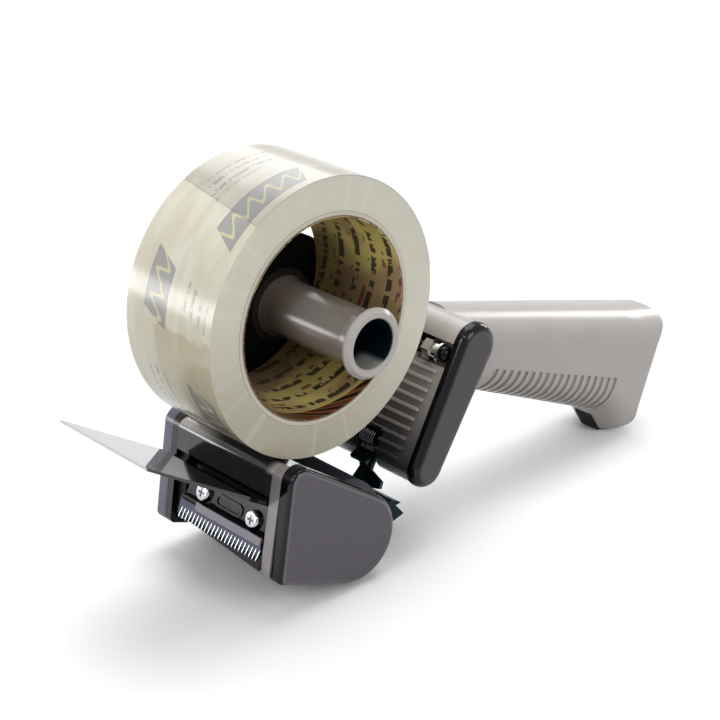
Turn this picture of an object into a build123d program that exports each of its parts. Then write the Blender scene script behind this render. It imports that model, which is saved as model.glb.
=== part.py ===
"""Hand-held packing tape dispenser with a roll of tape, built piece by piece.

The tool is described in its own side view: u runs back along the handle, v runs up,
and w runs across the width towards the far side. The roll's centre is u = v = w = 0.
The finished tool is tilted so that it stands on its roller and on the foot of its butt.
"""
import os
from math import asin, atan2, cos, degrees, hypot, pi, radians, sin, tan

from build123d import *

# Tape roll: the common 76.2 mm core with 48 mm wide tape sets the scale of the whole tool
core_bore = 38.1
liner_thickness = 0.3
core_wall = 1.9
roll_radius = 53.5
tape_half_width = 24.0

# Clearances
running_gap = 0.05
core_gap = 0.4

# Widths, measured across the tool from the middle of the tape
wall_inside = 25.0
plate_thickness = 4.5
head_wall = 5.0
near_cap_thickness = 6.0
far_cap_thickness = 10.0
bridge_cap_thickness = 5.0
plate_outside = wall_inside + plate_thickness
head_outside = wall_inside + head_wall

# Hub that carries the roll
hub_radius = 11.3
hub_bore = 9.8
hub_core_gap = 1.22
hub_angle = -15.9
hub_flange_radius = 15.0
hub_flange_edge = 0.35
hub_step = 0.7
hub_step_length = 0.9
hub_taper_length = 4.2
hub_rim_radius = 13.9
hub_rim_thickness = 3.2
hub_rim_round = 1.5
hub_rim_bevel = 0.75
hub_floor = 3.0
hub_reach = core_bore - hub_radius - hub_core_gap
hub_u = hub_reach * cos(radians(hub_angle))
hub_v = hub_reach * sin(radians(hub_angle))
plate_disc_radius = 29.0

# Head: side profile as three corner circles, each u, v and radius
head_front_low = (2.0, -96.2, 2.5)
head_front_top = (-1.6, -59.0, 6.0)
head_rear = (36.0, -81.0, 18.0)
housing_front_low = (0.7, -95.8, 2.2)
housing_front_top = (-3.4, -59.1, 4.2)
housing_skin = 2.6
plate_inset = 0.8
housing_back = 17.0
lip_bottom = -68.0
cap_edge_round = 2.2
far_cap_wall = 2.4

# Applying roller
roller_u = 35.8
roller_v = -81.1
roller_radius = 20.4
roller_core_radius = 15.0
roller_rim_wall = 1.6
roller_hub_radius = 6.0
roller_web_half = 2.0
roller_end_gap = 0.4
shaft_radius = 3.0

# Blade, its holder and its clamp
holder_front = -0.4
holder_thickness = 3.0
holder_top = -69.0
holder_seat_depth = 2.0
holder_seat_top = -84.5
holder_low_near = -96.6
holder_low_far = -92.6
slot_v = -80.4
slot_length = 15.6
slot_height = 5.2
slot_rim = 1.0
slot_rim_depth = 0.5
blade_thickness = 0.8
blade_top = -86.0
tooth_top = -90.0
blade_tip = -93.6
blade_end_gap = 1.0
blade_half_width = wall_inside - blade_end_gap
blade_teeth = 24
clamp_thickness = 1.0
clamp_top = -84.2
clamp_bottom = -87.3
clamp_far_end = 14.0
screw_v = -80.4
screw_w = 14.6
screw_head_radius = 3.8
screw_head_height = 2.1
screw_shank_radius = 1.4
screw_shank_length = 2.4
screw_head_round = 1.25
cross_length = 3.6
cross_width = 0.9
cross_depth = 1.0

# Wiper flap
wiper_root_u = -0.7
wiper_root_v = -71.7
wiper_tip_u = -66.7
wiper_tip_v = -57.6
wiper_root_thickness = 1.8
wiper_tip_thickness = 0.9
wiper_gap = 0.6
wiper_far_edge = 27.0
wiper_neck_u = -9.5

# Bridge between the side plate and the handle
bridge_top = (81.8, -4.9, 10.2)
bridge_low = (72.5, -55.0, 8.3)
bridge_inset = 0.6
bridge_cap_round = 4.0
rib_pitch = 4.1
rib_count = 10
rib_thickness = 1.1
rib_height = 1.1
rib_root = 1.5
rib_first_v = -17.1
rib_near_end = -21.7
spring_notch_half = 6.5
spring_notch_top = -45.5
bolt_slot_top = -4.9
bolt_slot_bottom = -12.9
bolt_slot_depth = 8.0
bolt_slot_far = 23.0
notch_depth = 13.0
bridge_face_u = 71.8
bridge_lean = 0.153
rib_end_shift = 0.35

# Brake bolt with nut, washer and tip
bolt_u = 71.4
bolt_v = -9.9
bolt_radius = 2.0
bolt_near_end = -22.9
nut_flats = 8.0
nut_sides = 6
nut_far = -12.9
nut_thickness = 4.0
nut_end_gap = 0.1
nut_recess_far = -9.0
nut_recess_gap = 0.4
collar_radius = 3.3
collar_length = 3.6
washer_radius = 4.3
washer_thickness = 0.9
tip_radius = 3.5
tip_length = 3.2
tip_round = 2.8

# Guide bar on its sprung arm
pivot_u = 67.2
pivot_v = -51.4
pivot_radius = 1.5
pivot_half_length = 12.0
ear_radius = 3.2
ear_thickness = 1.2
ear_outside = 6.0
arm_u = 66.0
arm_thickness = 1.6
arm_top = -57.0
arm_waist_v = -64.0
arm_waist_far = 1.2
arm_waist_near = 5.0
arm_foot_v = -69.5
arm_foot_far = 3.5
arm_foot_near = 6.0
arm_tab_near = 12.0
arm_tab_v = -66.5
arm_bend_half = 4.6
arm_bend_u = 62.4
arm_bend_v = -60.8
arm_bend_thickness = 1.2
bar_seat_v = -71.0
bar_tip_drop = 0.9
bar_upper_tip_u = 71.2
bar_valley_u = 68.7
bar_valley_v = -73.2
bar_lower_tip_u = 74.5
bar_lower_tip_v = -76.5
bar_heel_u = 68.6
bar_heel_v = -80.6
bar_front_u = 63.5
bar_half_length = 20.5
spring_wire = 0.9
spring_coil_radius = 3.2
spring_half_length = 4.0
spring_turns = 6.91
spring_start_angle = -40.0
spring_body_leg = 9.4
spring_arm_leg = 9.5

# Handle
grip_front_u = 84.0
grip_front_v = -10.5
grip_front_width = 31.0
grip_front_flat = 2.0
grip_front_height = 32.0
grip_rear_u = 198.0
grip_rear_v = -10.1
grip_rear_width = 34.0
grip_rear_flat = 5.0
grip_rear_height = 48.5
butt_width = 34.2
butt_flat = 2.0
butt_round = 6.0
butt_u = 210.0
butt_end_u = 226.0
butt_top_v = 15.3
butt_end_top_v = 16.9
butt_bottom_v = -43.6
butt_rear = (216.8, 9.7, 6.5)
foot_tip = (210.3, -40.8, 3.2)
foot_top = (202.6, -36.9, 1.4)
foot_half_width = 4.5
butt_front = (84.0, 0.0, 45.0)
butt_low = (213.6, -33.0, 8.0)
butt_corners = (butt_front, foot_tip, butt_low, butt_rear)
groove_count = 18
groove_first_u = 112.5
groove_pitch = 4.75
groove_width = 2.4
groove_depth = 0.9
groove_top_v = -16.0

# Standing pose: the tool rests on the roller and on the foot's rounded edge
foot_u, foot_v, foot_round = foot_tip
rest_run = foot_u - roller_u
rest_rise = foot_v - roller_v
rest_length = hypot(rest_run, rest_rise)
stand_tilt = degrees(atan2(rest_rise, rest_run) + asin((roller_radius - foot_round) / rest_length))

# Position of the roll's centre above the ground and from the middle of the whole outline
tilt_sin = sin(radians(stand_tilt))
tilt_cos = cos(radians(stand_tilt))
roll_height = roller_radius + roller_u * tilt_sin - roller_v * tilt_cos
roll_across = (near_cap_thickness - far_cap_thickness) / 2
front_end = wiper_tip_u * tilt_cos + (wiper_tip_v - wiper_tip_thickness / 2) * tilt_sin
butt_rear_u, butt_rear_v, butt_rear_round = butt_rear
rear_end = butt_rear_u * tilt_cos + butt_rear_v * tilt_sin + butt_rear_round
roll_along = -(front_end + rear_end) / 2


def tool_point(u, v, w=0.0):
    """Point of the side view in the standing frame."""
    along = roll_along + u * tilt_cos + v * tilt_sin
    return Vector(along, roll_across + w, roll_height - u * tilt_sin + v * tilt_cos)


u_direction = Vector(tilt_cos, 0, -tilt_sin)
v_direction = Vector(tilt_sin, 0, tilt_cos)
w_direction = Vector(0, 1, 0)


def side_plane(w):
    """Side view at width w; an extrusion from it grows towards the near side."""
    return Plane(origin=tool_point(0, 0, w), x_dir=u_direction, z_dir=-w_direction)


def lathe_plane(u, v):
    """Radius and width about the axis across the tool at u, v."""
    return Plane(origin=tool_point(u, v), x_dir=u_direction, z_dir=v_direction)


def front_plane(u, v=0.0):
    """Width and height seen from the rear at u; an extrusion grows along the handle."""
    return Plane(origin=tool_point(u, v), x_dir=w_direction, z_dir=u_direction)


def cross_axis(u, v):
    return Axis(tool_point(u, v), w_direction)


def corner_hull(corners, inset=0.0):
    """Sketch the outline that wraps the corner circles, moved inwards by the inset."""
    for u, v, radius in corners:
        with Locations((u, v)):
            Circle(radius - inset)
    make_hull()


def disc(u, v, radius):
    with Locations((u, v)):
        Circle(radius)


def outline(*points):
    Polygon(*points, align=None)


def finish(piece, name):
    piece.part.label = name
    export_step(piece.part, f"parts/{name}.step")


os.makedirs("parts", exist_ok=True)

head_corners = (head_front_low, head_front_top, head_rear)
housing_corners = (housing_front_low, housing_front_top, head_rear)
bridge_corners = (bridge_top, bridge_low)

# Side plate with its rounded top behind the roll
plate_bridge_inset = bridge_inset + plate_inset


def plate_upper_outline():
    disc(hub_u, hub_v, plate_disc_radius)
    corner_hull(bridge_corners, plate_bridge_inset)


def plate_lower_outline():
    disc(hub_u, hub_v, plate_disc_radius - housing_skin)
    disc(housing_front_low[0] + housing_skin, housing_front_low[1] + housing_skin, housing_front_low[2])
    disc(housing_front_top[0] + housing_skin, housing_front_top[1] - housing_skin, housing_front_top[2])
    disc(head_rear[0], head_rear[1], head_rear[2] - plate_inset)
    make_hull()


with BuildPart() as side_plate:
    with BuildSketch(side_plane(plate_outside)):
        plate_upper_outline()
    extrude(amount=plate_thickness)
    with BuildSketch(side_plane(plate_outside)):
        plate_lower_outline()
    extrude(amount=plate_thickness)
    with BuildSketch(side_plane(plate_outside)):
        disc(roller_u, roller_v, shaft_radius)
    extrude(amount=plate_thickness, mode=Mode.SUBTRACT)
finish(side_plate, "side_plate")

# Hub tube with its flared rim, open towards the near side
rim_back = -(tape_half_width + core_gap)
rim_front = rim_back - hub_rim_thickness
with BuildPart() as hub:
    with BuildSketch(lathe_plane(hub_u, hub_v)):
        outline(
            (0, wall_inside),
            (hub_flange_radius, wall_inside),
            (hub_flange_radius, wall_inside - hub_flange_edge),
            (hub_radius + hub_step, wall_inside - hub_step_length),
            (hub_radius, wall_inside - hub_taper_length),
            (hub_radius, rim_back + hub_taper_length),
            (hub_radius + hub_step, rim_back),
            (hub_rim_radius - hub_rim_bevel, rim_back),
            (hub_rim_radius, rim_back - hub_rim_bevel),
            (hub_rim_radius, rim_front + hub_rim_round),
            (hub_rim_radius - hub_rim_round, rim_front),
            (hub_bore + hub_rim_bevel, rim_front),
            (hub_bore, rim_front + hub_rim_bevel),
            (hub_bore, wall_inside - hub_floor),
            (0, wall_inside - hub_floor),
        )
    revolve(axis=cross_axis(hub_u, hub_v))
finish(hub, "hub")

# Core tube, its printed inner sleeve and the wound tape
core_inside = core_bore + liner_thickness
core_outside = core_inside + core_wall
with BuildPart() as core_liner:
    with BuildSketch(side_plane(tape_half_width)):
        Circle(core_inside)
        Circle(core_bore, mode=Mode.SUBTRACT)
    extrude(amount=2 * tape_half_width)
finish(core_liner, "core_liner")

with BuildPart() as tape_core:
    with BuildSketch(side_plane(tape_half_width)):
        Circle(core_outside)
        Circle(core_inside, mode=Mode.SUBTRACT)
    extrude(amount=2 * tape_half_width)
finish(tape_core, "tape_core")

with BuildPart() as tape_winding:
    with BuildSketch(side_plane(tape_half_width)):
        Circle(roll_radius)
        Circle(core_outside, mode=Mode.SUBTRACT)
    extrude(amount=2 * tape_half_width)
finish(tape_winding, "tape_winding")

# Head housing: near wall, top and front lip, open below the lip and behind
cut_reach = head_rear[0] + head_rear[2]
with BuildPart() as head_housing:
    with BuildSketch(side_plane(head_outside)):
        corner_hull(housing_corners)
    extrude(amount=2 * head_outside)
    with BuildSketch(side_plane(head_outside)):
        corner_hull(housing_corners)
        offset(amount=-housing_skin)
    extrude(amount=head_outside + wall_inside, mode=Mode.SUBTRACT)
    with BuildSketch(side_plane(head_outside)):
        with Locations((housing_back, head_rear[1])):
            Rectangle(cut_reach, 2 * cut_reach, align=(Align.MIN, Align.CENTER))
    extrude(amount=head_outside + wall_inside, mode=Mode.SUBTRACT)
    with BuildSketch(side_plane(head_outside)):
        with Locations((housing_back, lip_bottom)):
            Rectangle(2 * cut_reach, cut_reach, align=(Align.CENTER, Align.MAX))
    extrude(amount=head_outside + wall_inside, mode=Mode.SUBTRACT)
    with BuildSketch(side_plane(-wall_inside)):
        disc(roller_u, roller_v, shaft_radius)
    extrude(amount=head_wall, mode=Mode.SUBTRACT)
    with BuildSketch(side_plane(head_outside)):
        plate_upper_outline()
    extrude(amount=head_wall, mode=Mode.SUBTRACT)
    with BuildSketch(side_plane(head_outside)):
        plate_lower_outline()
    extrude(amount=head_wall, mode=Mode.SUBTRACT)
finish(head_housing, "head_housing")

# Caps on the two ends of the head
with BuildPart() as head_near_cap:
    with BuildSketch(side_plane(-head_outside)):
        corner_hull(head_corners)
    extrude(amount=near_cap_thickness)
    fillet(head_near_cap.edges().group_by(Axis.Y)[0], cap_edge_round)
finish(head_near_cap, "head_near_cap")

with BuildPart() as head_far_cap:
    with BuildSketch(side_plane(head_outside + far_cap_thickness)):
        corner_hull(head_corners)
    extrude(amount=far_cap_thickness)
    fillet(head_far_cap.edges().group_by(Axis.Y)[-1], cap_edge_round)
    with BuildSketch(side_plane(head_outside + far_cap_thickness - far_cap_wall)):
        corner_hull(head_corners)
        offset(amount=-far_cap_wall)
    extrude(amount=far_cap_thickness, mode=Mode.SUBTRACT)
finish(head_far_cap, "head_far_cap")

# Blade holder: back plate with an embossed slot and a lower seat with a slanted edge
seat_front = holder_front - holder_seat_depth
with BuildPart() as blade_holder:
    with BuildSketch(front_plane(holder_front)):
        outline(
            (-wall_inside, holder_top),
            (wall_inside, holder_top),
            (wall_inside, holder_low_far),
            (-wall_inside, holder_low_near),
        )
    extrude(amount=holder_thickness)
    with BuildSketch(front_plane(seat_front)):
        outline(
            (-wall_inside, holder_seat_top),
            (wall_inside, holder_seat_top),
            (wall_inside, holder_low_far),
            (-wall_inside, holder_low_near),
        )
    extrude(amount=holder_seat_depth)
    with BuildSketch(front_plane(holder_front - slot_rim_depth)):
        with Locations((0, slot_v)):
            SlotOverall(slot_length, slot_height)
            SlotOverall(slot_length - 2 * slot_rim, slot_height - 2 * slot_rim, mode=Mode.SUBTRACT)
    extrude(amount=slot_rim_depth)
    with BuildSketch(front_plane(holder_front)):
        with Locations((-screw_w, screw_v), (screw_w, screw_v)):
            Circle(screw_shank_radius)
    extrude(amount=screw_shank_length, mode=Mode.SUBTRACT)
finish(blade_holder, "blade_holder")

# Toothed blade on the seat
tooth_pitch = 2 * blade_half_width / blade_teeth
blade_front = seat_front - blade_thickness
with BuildPart() as blade:
    with BuildSketch(front_plane(blade_front)):
        with Locations((0, (blade_top + tooth_top) / 2)):
            Rectangle(2 * blade_half_width, blade_top - tooth_top)
        for tooth in range(blade_teeth):
            left = tooth * tooth_pitch - blade_half_width
            outline(
                (left, tooth_top),
                (left + tooth_pitch, tooth_top),
                (left + tooth_pitch * 0.5, blade_tip),
            )
    extrude(amount=blade_thickness)
finish(blade, "blade")

# Clamp strip over the blade
with BuildPart() as blade_clamp:
    with BuildSketch(front_plane(blade_front - clamp_thickness)):
        with Locations(((clamp_far_end - blade_half_width) / 2, (clamp_top + clamp_bottom) / 2)):
            Rectangle(clamp_far_end + blade_half_width, clamp_top - clamp_bottom)
    extrude(amount=clamp_thickness)
finish(blade_clamp, "blade_clamp")

# Two cross-recessed pan screws
with BuildPart() as blade_screws:
    with BuildSketch(front_plane(holder_front - screw_head_height)):
        with Locations((-screw_w, screw_v), (screw_w, screw_v)):
            Circle(screw_head_radius)
    extrude(amount=screw_head_height)
    fillet(blade_screws.faces().sort_by(Axis(tool_point(0, 0), u_direction))[0:2].edges(), screw_head_round)
    with BuildSketch(front_plane(holder_front)):
        with Locations((-screw_w, screw_v), (screw_w, screw_v)):
            Circle(screw_shank_radius)
    extrude(amount=screw_shank_length)
    with BuildSketch(front_plane(holder_front - screw_head_height)):
        with Locations((-screw_w, screw_v), (screw_w, screw_v)):
            Rectangle(cross_length, cross_width)
            Rectangle(cross_width, cross_length)
    extrude(amount=cross_depth, mode=Mode.SUBTRACT)
finish(blade_screws, "blade_screws")

# Wiper flap, thinner towards its free edge
wiper_angle = atan2(wiper_tip_v - wiper_root_v, wiper_tip_u - wiper_root_u)
wiper_rise = tan(wiper_angle)
neck_v = wiper_root_v + (wiper_neck_u - wiper_root_u) * wiper_rise
half_root = wiper_root_thickness / 2
half_tip = wiper_tip_thickness / 2
neck_share = (wiper_neck_u - wiper_root_u) / (wiper_tip_u - wiper_root_u)
half_neck = half_root + (half_tip - half_root) * neck_share
wiper_near_edge = wall_inside - wiper_gap
with BuildPart() as wiper_plate:
    with BuildSketch(side_plane(wiper_near_edge)):
        outline(
            (wiper_root_u, wiper_root_v + half_root),
            (wiper_root_u, wiper_root_v - half_root),
            (wiper_tip_u, wiper_tip_v - half_tip),
            (wiper_tip_u, wiper_tip_v + half_tip),
        )
    extrude(amount=2 * wiper_near_edge)
    with BuildSketch(side_plane(wiper_far_edge)):
        outline(
            (wiper_neck_u, neck_v + half_neck),
            (wiper_neck_u, neck_v - half_neck),
            (wiper_tip_u, wiper_tip_v - half_tip),
            (wiper_tip_u, wiper_tip_v + half_tip),
        )
    extrude(amount=wiper_far_edge)
finish(wiper_plate, "wiper_plate")

# Applying roller: rubber tyre, spool core and fixed shaft
roller_half = wall_inside - roller_end_gap
with BuildPart() as roller_tyre:
    with BuildSketch(side_plane(roller_half)):
        disc(roller_u, roller_v, roller_radius)
        with Locations((roller_u, roller_v)):
            Circle(roller_core_radius, mode=Mode.SUBTRACT)
    extrude(amount=2 * roller_half)
finish(roller_tyre, "roller_tyre")

bore = shaft_radius + running_gap
rim_inside = roller_core_radius - roller_rim_wall
with BuildPart() as roller_core:
    with BuildSketch(lathe_plane(roller_u, roller_v)):
        outline(
            (bore, roller_half),
            (roller_hub_radius, roller_half),
            (roller_hub_radius, roller_web_half),
            (rim_inside, roller_web_half),
            (rim_inside, roller_half),
            (roller_core_radius, roller_half),
            (roller_core_radius, -roller_half),
            (rim_inside, -roller_half),
            (rim_inside, -roller_web_half),
            (roller_hub_radius, -roller_web_half),
            (roller_hub_radius, -roller_half),
            (bore, -roller_half),
        )
    revolve(axis=cross_axis(roller_u, roller_v))
finish(roller_core, "roller_core")

with BuildPart() as roller_shaft:
    with BuildSketch(side_plane(plate_outside)):
        disc(roller_u, roller_v, shaft_radius)
    extrude(amount=plate_outside + head_outside)
finish(roller_shaft, "roller_shaft")

def rounded_section(centre_v, width, height, flat, inset=0.0, mode=Mode.ADD):
    """Rounded rectangle with the given flat left on its narrower side, moved inwards by the inset."""
    corner_round = (min(width, height) - flat) / 2 - inset
    with Locations((0, centre_v)):
        RectangleRounded(width - 2 * inset, height - 2 * inset, corner_round, mode=mode)


def grip_section(u, inset=0.0, mode=Mode.ADD):
    """Section of the grip at u."""
    share = (u - grip_front_u) / (grip_rear_u - grip_front_u)
    centre_v = grip_front_v + (grip_rear_v - grip_front_v) * share
    width = grip_front_width + (grip_rear_width - grip_front_width) * share
    height = grip_front_height + (grip_rear_height - grip_front_height) * share
    flat = grip_front_flat + (grip_rear_flat - grip_front_flat) * share
    rounded_section(centre_v, width, height, flat, inset, mode)


# Handle body: bridge across the tool, grip and flared butt in one moulding
nut_corner_radius = nut_flats / 2 / cos(pi / nut_sides)
with BuildPart() as handle_body:
    # side outline with rounded rims, then trimmed to the rounded sections of grip and butt
    with BuildSketch(side_plane(butt_width / 2)):
        corner_hull(butt_corners)
    extrude(amount=butt_width)
    butt_sides = handle_body.faces().sort_by(Axis.Y)
    fillet(butt_sides[0].edges() + butt_sides[-1].edges(), butt_round)
    for u in (grip_front_u, grip_rear_u):
        with BuildSketch(front_plane(u)):
            grip_section(u)
    for u, top_v in ((butt_u, butt_top_v), (butt_end_u, butt_end_top_v)):
        with BuildSketch(front_plane(u)):
            rounded_section((top_v + butt_bottom_v) / 2, grip_rear_width, top_v - butt_bottom_v, butt_flat)
    loft(ruled=True, mode=Mode.INTERSECT)
    with BuildSketch(side_plane(wall_inside)):
        corner_hull(bridge_corners, bridge_inset)
    extrude(amount=2 * wall_inside)
    # raised ribs on the face towards the roll
    for rib in range(rib_count):
        rib_v = rib_first_v - rib * rib_pitch
        face_u = bridge_face_u + (rib_v - bridge_top[1]) * bridge_lean
        near_end = rib_near_end + rib * rib_end_shift
        with BuildSketch(front_plane(face_u - rib_height)):
            with Locations((wall_inside, rib_v)):
                Rectangle(wall_inside - near_end, rib_thickness, align=(Align.MAX, Align.CENTER))
        extrude(amount=rib_height + rib_root)
    # finger grooves round the underside of the grip
    for groove in range(groove_count):
        groove_u = groove_first_u + groove * groove_pitch
        with BuildSketch(front_plane(groove_u)):
            with Locations((0, groove_top_v)):
                Rectangle(grip_rear_width * 2, grip_rear_height, align=(Align.CENTER, Align.MAX))
            grip_section(groove_u, groove_depth, Mode.SUBTRACT)
    extrude(amount=groove_width, mode=Mode.SUBTRACT)
    # notch for the sprung arm in the lower edge
    with BuildSketch(side_plane(spring_notch_half)):
        with Locations((bridge_low[0] - bridge_low[2] * 2, spring_notch_top)):
            Rectangle(notch_depth + bridge_low[2], bridge_low[2] * 3, align=(Align.MIN, Align.MAX))
    extrude(amount=2 * spring_notch_half, mode=Mode.SUBTRACT)
    # slot of the brake bolt and recess of its nut in the face towards the roll
    with BuildSketch(side_plane(bolt_slot_far)):
        with Locations((bolt_u - bolt_slot_depth, (bolt_slot_top + bolt_slot_bottom) / 2)):
            Rectangle(2 * bolt_slot_depth, bolt_slot_top - bolt_slot_bottom, align=(Align.MIN, Align.CENTER))
    extrude(amount=bolt_slot_far - nut_far, mode=Mode.SUBTRACT)
    with BuildSketch(side_plane(nut_recess_far)):
        disc(bolt_u, bolt_v, nut_corner_radius + nut_recess_gap)
    extrude(amount=nut_recess_far + wall_inside, mode=Mode.SUBTRACT)
    # seat of the foot and bores of the arm's pin and the bolt
    with BuildSketch(side_plane(foot_half_width)):
        corner_hull((foot_top, foot_tip))
    extrude(amount=2 * foot_half_width, mode=Mode.SUBTRACT)
    with BuildSketch(side_plane(pivot_half_length)):
        disc(pivot_u, pivot_v, pivot_radius)
    extrude(amount=2 * pivot_half_length, mode=Mode.SUBTRACT)
    with BuildSketch(side_plane(wall_inside)):
        disc(bolt_u, bolt_v, bolt_radius)
    extrude(amount=wall_inside - bolt_slot_far, mode=Mode.SUBTRACT)
finish(handle_body, "handle_body")

# Rubber foot on the butt
with BuildPart() as butt_foot:
    with BuildSketch(side_plane(foot_half_width)):
        corner_hull((foot_top, foot_tip))
    extrude(amount=2 * foot_half_width)
finish(butt_foot, "butt_foot")

# Cap on the near end of the bridge
with BuildPart() as bridge_cap:
    with BuildSketch(side_plane(-wall_inside)):
        corner_hull(bridge_corners)
    extrude(amount=bridge_cap_thickness)
    fillet(bridge_cap.edges().group_by(Axis.Y)[0], bridge_cap_round)
finish(bridge_cap, "bridge_cap")

# Brake bolt, nut, collar with its washer and rounded tip
with BuildPart() as brake_bolt:
    with BuildSketch(side_plane(wall_inside)):
        disc(bolt_u, bolt_v, bolt_radius)
    extrude(amount=wall_inside - bolt_near_end)
finish(brake_bolt, "brake_bolt")

nut_near = nut_far - nut_thickness
collar_far = nut_near - nut_end_gap
washer_far = collar_far - collar_length
washer_near = washer_far - washer_thickness
with BuildPart() as brake_nut:
    with BuildSketch(side_plane(nut_far)):
        with Locations((bolt_u, bolt_v)):
            RegularPolygon(nut_flats / 2, nut_sides, major_radius=False)
            Circle(bolt_radius + running_gap, mode=Mode.SUBTRACT)
    extrude(amount=nut_thickness)
finish(brake_nut, "brake_nut")

with BuildPart() as brake_washer:
    with BuildSketch(side_plane(collar_far)):
        disc(bolt_u, bolt_v, collar_radius)
    extrude(amount=collar_length)
    with BuildSketch(side_plane(washer_far)):
        disc(bolt_u, bolt_v, washer_radius)
    extrude(amount=washer_thickness)
    with BuildSketch(side_plane(collar_far)):
        disc(bolt_u, bolt_v, bolt_radius)
    extrude(amount=collar_length + washer_thickness, mode=Mode.SUBTRACT)
finish(brake_washer, "brake_washer")

with BuildPart() as brake_tip:
    with BuildSketch(side_plane(washer_near)):
        disc(bolt_u, bolt_v, tip_radius)
    extrude(amount=tip_length)
    fillet(brake_tip.edges().group_by(Axis.Y)[0], tip_round)
    with BuildSketch(side_plane(washer_near)):
        disc(bolt_u, bolt_v, bolt_radius)
    extrude(amount=washer_near - bolt_near_end, mode=Mode.SUBTRACT)
finish(brake_tip, "brake_tip")

# Pin of the sprung arm
with BuildPart() as arm_pin:
    with BuildSketch(side_plane(pivot_half_length)):
        disc(pivot_u, pivot_v, pivot_radius)
    extrude(amount=2 * pivot_half_length)
finish(arm_pin, "arm_pin")

# Sprung arm: flat plate with a spread foot and two ears round the pin
ear_bore = pivot_radius + running_gap
with BuildPart() as tension_arm:
    with BuildSketch(front_plane(arm_u)):
        outline(
            (ear_outside, arm_top),
            (arm_waist_far, arm_waist_v),
            (arm_foot_far, arm_foot_v),
            (arm_foot_far, bar_seat_v),
            (-arm_foot_near, bar_seat_v),
            (-arm_tab_near, arm_foot_v),
            (-arm_tab_near, arm_tab_v),
            (-arm_waist_near, arm_waist_v),
            (-ear_outside, arm_top),
        )
    extrude(amount=arm_thickness)
    for far in (ear_outside, ear_thickness - ear_outside):
        with BuildSketch(side_plane(far)):
            disc(pivot_u, pivot_v, ear_radius)
            disc(arm_u + arm_thickness / 2, arm_top, arm_thickness / 2)
            make_hull()
            with Locations((pivot_u, pivot_v)):
                Circle(ear_bore, mode=Mode.SUBTRACT)
        extrude(amount=ear_thickness)
    with BuildSketch(side_plane(arm_bend_half)):
        outline(
            (arm_u, arm_top),
            (arm_bend_u, arm_bend_v),
            (arm_bend_u + arm_bend_thickness, arm_bend_v - arm_bend_thickness),
            (arm_u + arm_bend_thickness, arm_top - arm_bend_thickness),
        )
    extrude(amount=2 * arm_bend_half)
finish(tension_arm, "tension_arm")

# Guide bar with pointed ribs along its rear edge
with BuildPart() as guide_bar:
    with BuildSketch(side_plane(bar_half_length)):
        outline(
            (arm_u + arm_thickness, bar_seat_v),
            (bar_upper_tip_u, bar_seat_v - bar_tip_drop),
            (bar_valley_u, bar_valley_v),
            (bar_lower_tip_u, bar_lower_tip_v),
            (bar_heel_u, bar_heel_v),
            (bar_front_u, bar_heel_v),
            (bar_front_u, bar_seat_v - bar_tip_drop),
            (arm_u, bar_seat_v),
        )
    extrude(amount=2 * bar_half_length)
finish(guide_bar, "guide_bar")

# Torsion spring: wire wound round the pin, one leg in the notch and one behind the arm
coil_pitch = 2 * spring_half_length / spring_turns
start_cos = cos(radians(spring_start_angle))
start_sin = sin(radians(spring_start_angle))
start_direction = u_direction * start_cos + v_direction * start_sin
coil_origin = tool_point(pivot_u, pivot_v, -spring_half_length)
with BuildPart(mode=Mode.PRIVATE) as coiled_wire:
    with BuildLine() as wire_line:
        coil = Helix(pitch=coil_pitch, height=2 * spring_half_length, radius=spring_coil_radius)
        Line(coil @ 0 - (coil % 0) * spring_body_leg, coil @ 0)
        Line(coil @ 1, coil @ 1 + (coil % 1) * spring_arm_leg)
    with BuildSketch(Plane(origin=coil @ 0 - (coil % 0) * spring_body_leg, z_dir=coil % 0)):
        Circle(spring_wire / 2)
    sweep(path=wire_line.wire())
with BuildPart() as torsion_spring:
    with Locations(Plane(origin=coil_origin, x_dir=start_direction, z_dir=w_direction)):
        add(coiled_wire.part)
finish(torsion_spring, "torsion_spring")
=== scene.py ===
"""Looks of a hand-held packing tape dispenser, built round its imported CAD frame."""

import math

import bpy
from mathutils import Euler, Matrix, Vector


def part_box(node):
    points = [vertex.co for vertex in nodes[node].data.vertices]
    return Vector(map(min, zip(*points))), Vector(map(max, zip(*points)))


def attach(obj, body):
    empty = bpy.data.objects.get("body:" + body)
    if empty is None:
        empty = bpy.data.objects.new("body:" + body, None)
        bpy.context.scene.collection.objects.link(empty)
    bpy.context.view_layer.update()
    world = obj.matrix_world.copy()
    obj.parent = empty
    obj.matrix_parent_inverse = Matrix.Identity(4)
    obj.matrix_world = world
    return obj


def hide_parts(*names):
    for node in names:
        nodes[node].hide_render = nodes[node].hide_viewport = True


MM = 0.001
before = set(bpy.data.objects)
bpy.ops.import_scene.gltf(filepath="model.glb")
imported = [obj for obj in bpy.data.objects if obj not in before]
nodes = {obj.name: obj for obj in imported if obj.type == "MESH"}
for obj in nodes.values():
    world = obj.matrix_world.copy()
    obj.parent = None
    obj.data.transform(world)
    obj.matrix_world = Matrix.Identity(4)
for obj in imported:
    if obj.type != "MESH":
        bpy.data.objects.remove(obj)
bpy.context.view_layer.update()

# The tool's own side view, in millimetres from the roll's centre: u runs back along the
# handle, v runs up and w runs across to the far side. The whole tool leans by this angle.
STAND_TILT = math.radians(18.515)
SIDE_VIEW = Matrix.Rotation(STAND_TILT, 3, "Y")


def span(node, axis):
    """Length of a node's box along an axis, in millimetres."""
    low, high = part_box(node)
    return (high[axis] - low[axis]) / MM


def middle(node):
    """Middle of a node's box, in metres."""
    low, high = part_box(node)
    return (low + high) / 2


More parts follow.
